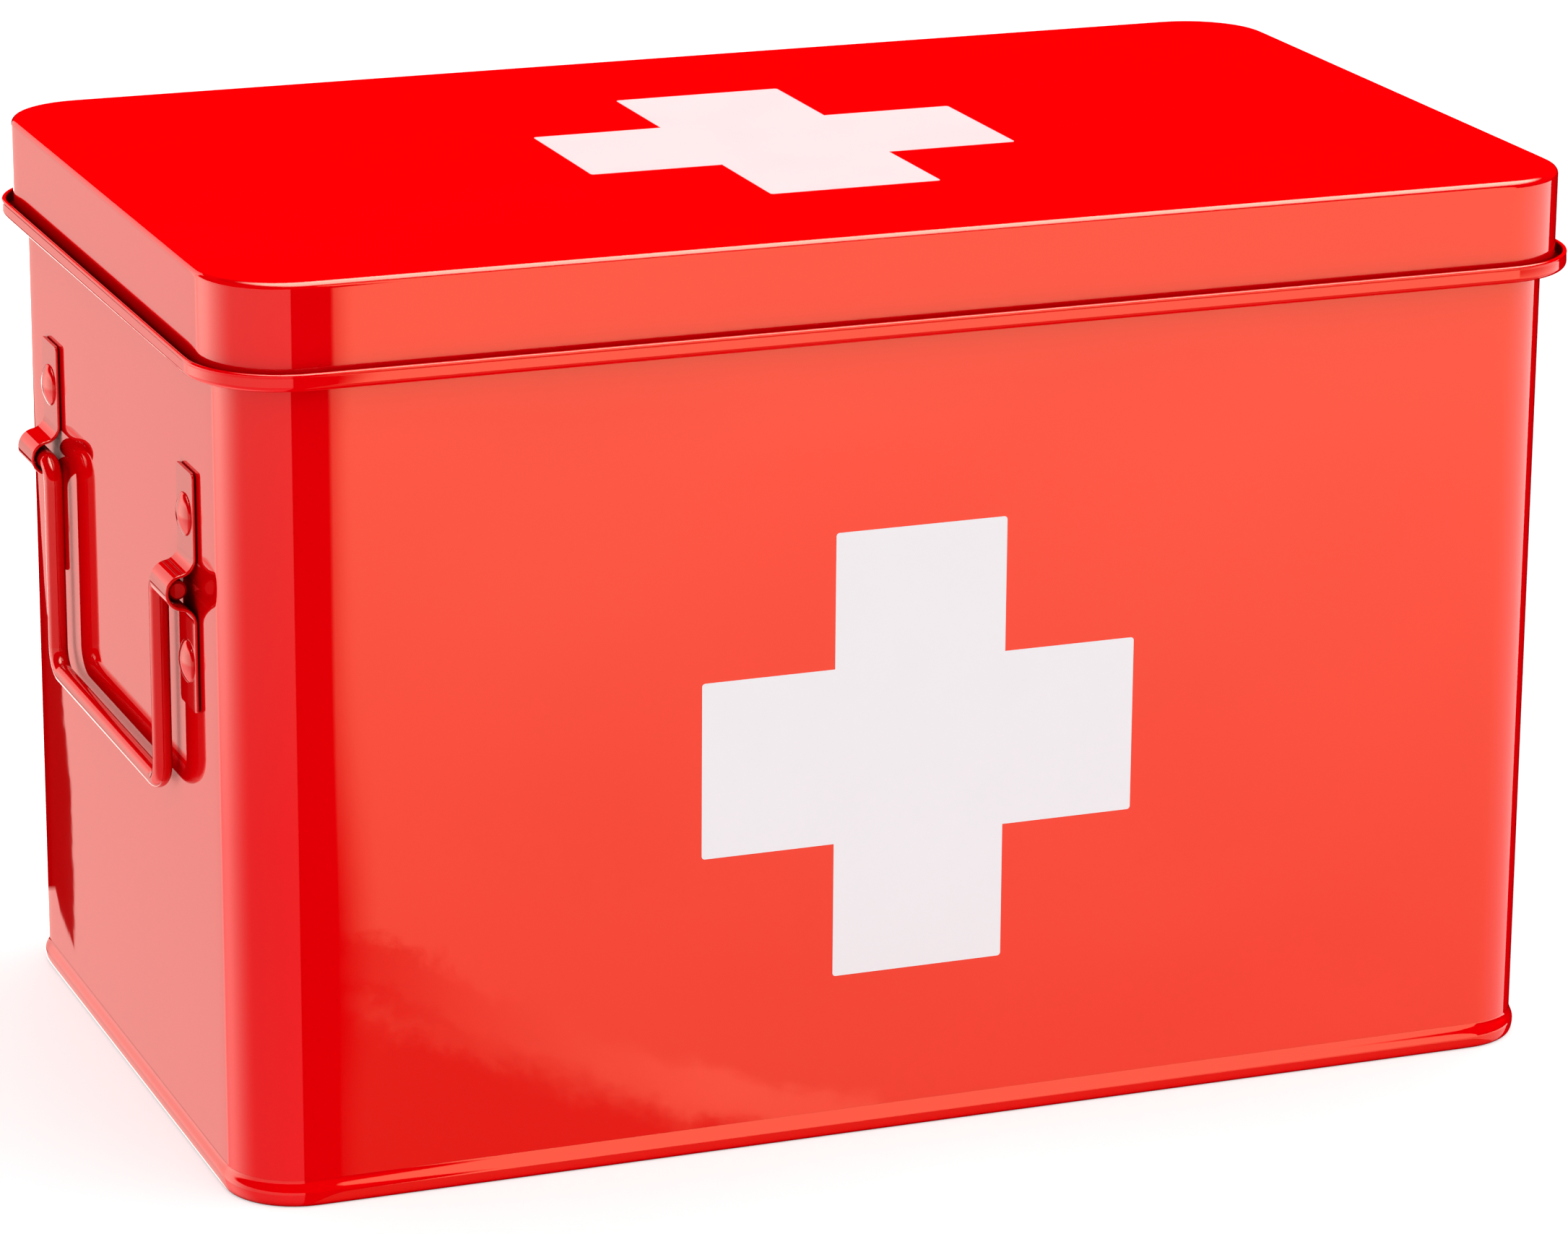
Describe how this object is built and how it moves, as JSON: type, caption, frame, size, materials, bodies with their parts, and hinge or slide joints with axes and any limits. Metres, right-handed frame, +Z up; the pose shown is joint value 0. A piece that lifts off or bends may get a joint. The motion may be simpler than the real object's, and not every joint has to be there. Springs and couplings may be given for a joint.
{
  "type": "first-aid tin",
  "caption": "Red enamelled steel first-aid tin with a lift-off lid, plain white crosses and hanging wire handles on the short sides.",
  "frame": {"origin": "on the ground under the middle of the box", "axes": "+X along the long side towards the right-hand handle, +Y from the wall with the cross to the rear wall, +Z up"},
  "size_m": [0.3152, 0.1892, 0.2],
  "materials": {
    "red_enamel": "high gloss",
    "red_hardware": "gloss",
    "white_print": "satin"
  },
  "bodies": {
    "box": {"body_wall": "red_enamel", "bottom_panel": "red_enamel", "front_cross": "white_print", "bracket_left_front": "red_hardware", "rivet_left_front_upper": "red_hardware", "rivet_left_front_lower": "red_hardware", "bracket_left_rear": "red_hardware", "rivet_left_rear_upper": "red_hardware", "rivet_left_rear_lower": "red_hardware", "bracket_right_front": "red_hardware", "rivet_right_front_upper": "red_hardware", "rivet_right_front_lower": "red_hardware", "bracket_right_rear": "red_hardware", "rivet_right_rear_upper": "red_hardware", "rivet_right_rear_lower": "red_hardware"},
    "lid": {"lid": "red_enamel", "lid_cross": "white_print"},
    "handle_left": {"handle_left": "red_hardware"},
    "handle_right": {"handle_right": "red_hardware"}
  },
  "joints": [
    {"name": "lid_lift", "type": "slide", "parent": "box", "child": "lid", "axis": [0, 0, 1], "range_m": [0, 0.12]},
    {"name": "handle_left_swing", "type": "hinge", "parent": "box", "child": "handle_left", "pos_m": [-0.1542, 0, 0.1279], "axis": [0, 1, 0], "range_deg": [0, 180]},
    {"name": "handle_right_swing", "type": "hinge", "parent": "box", "child": "handle_right", "pos_m": [0.1542, 0, 0.1279], "axis": [0, -1, 0], "range_deg": [0, 180]}
  ]
}
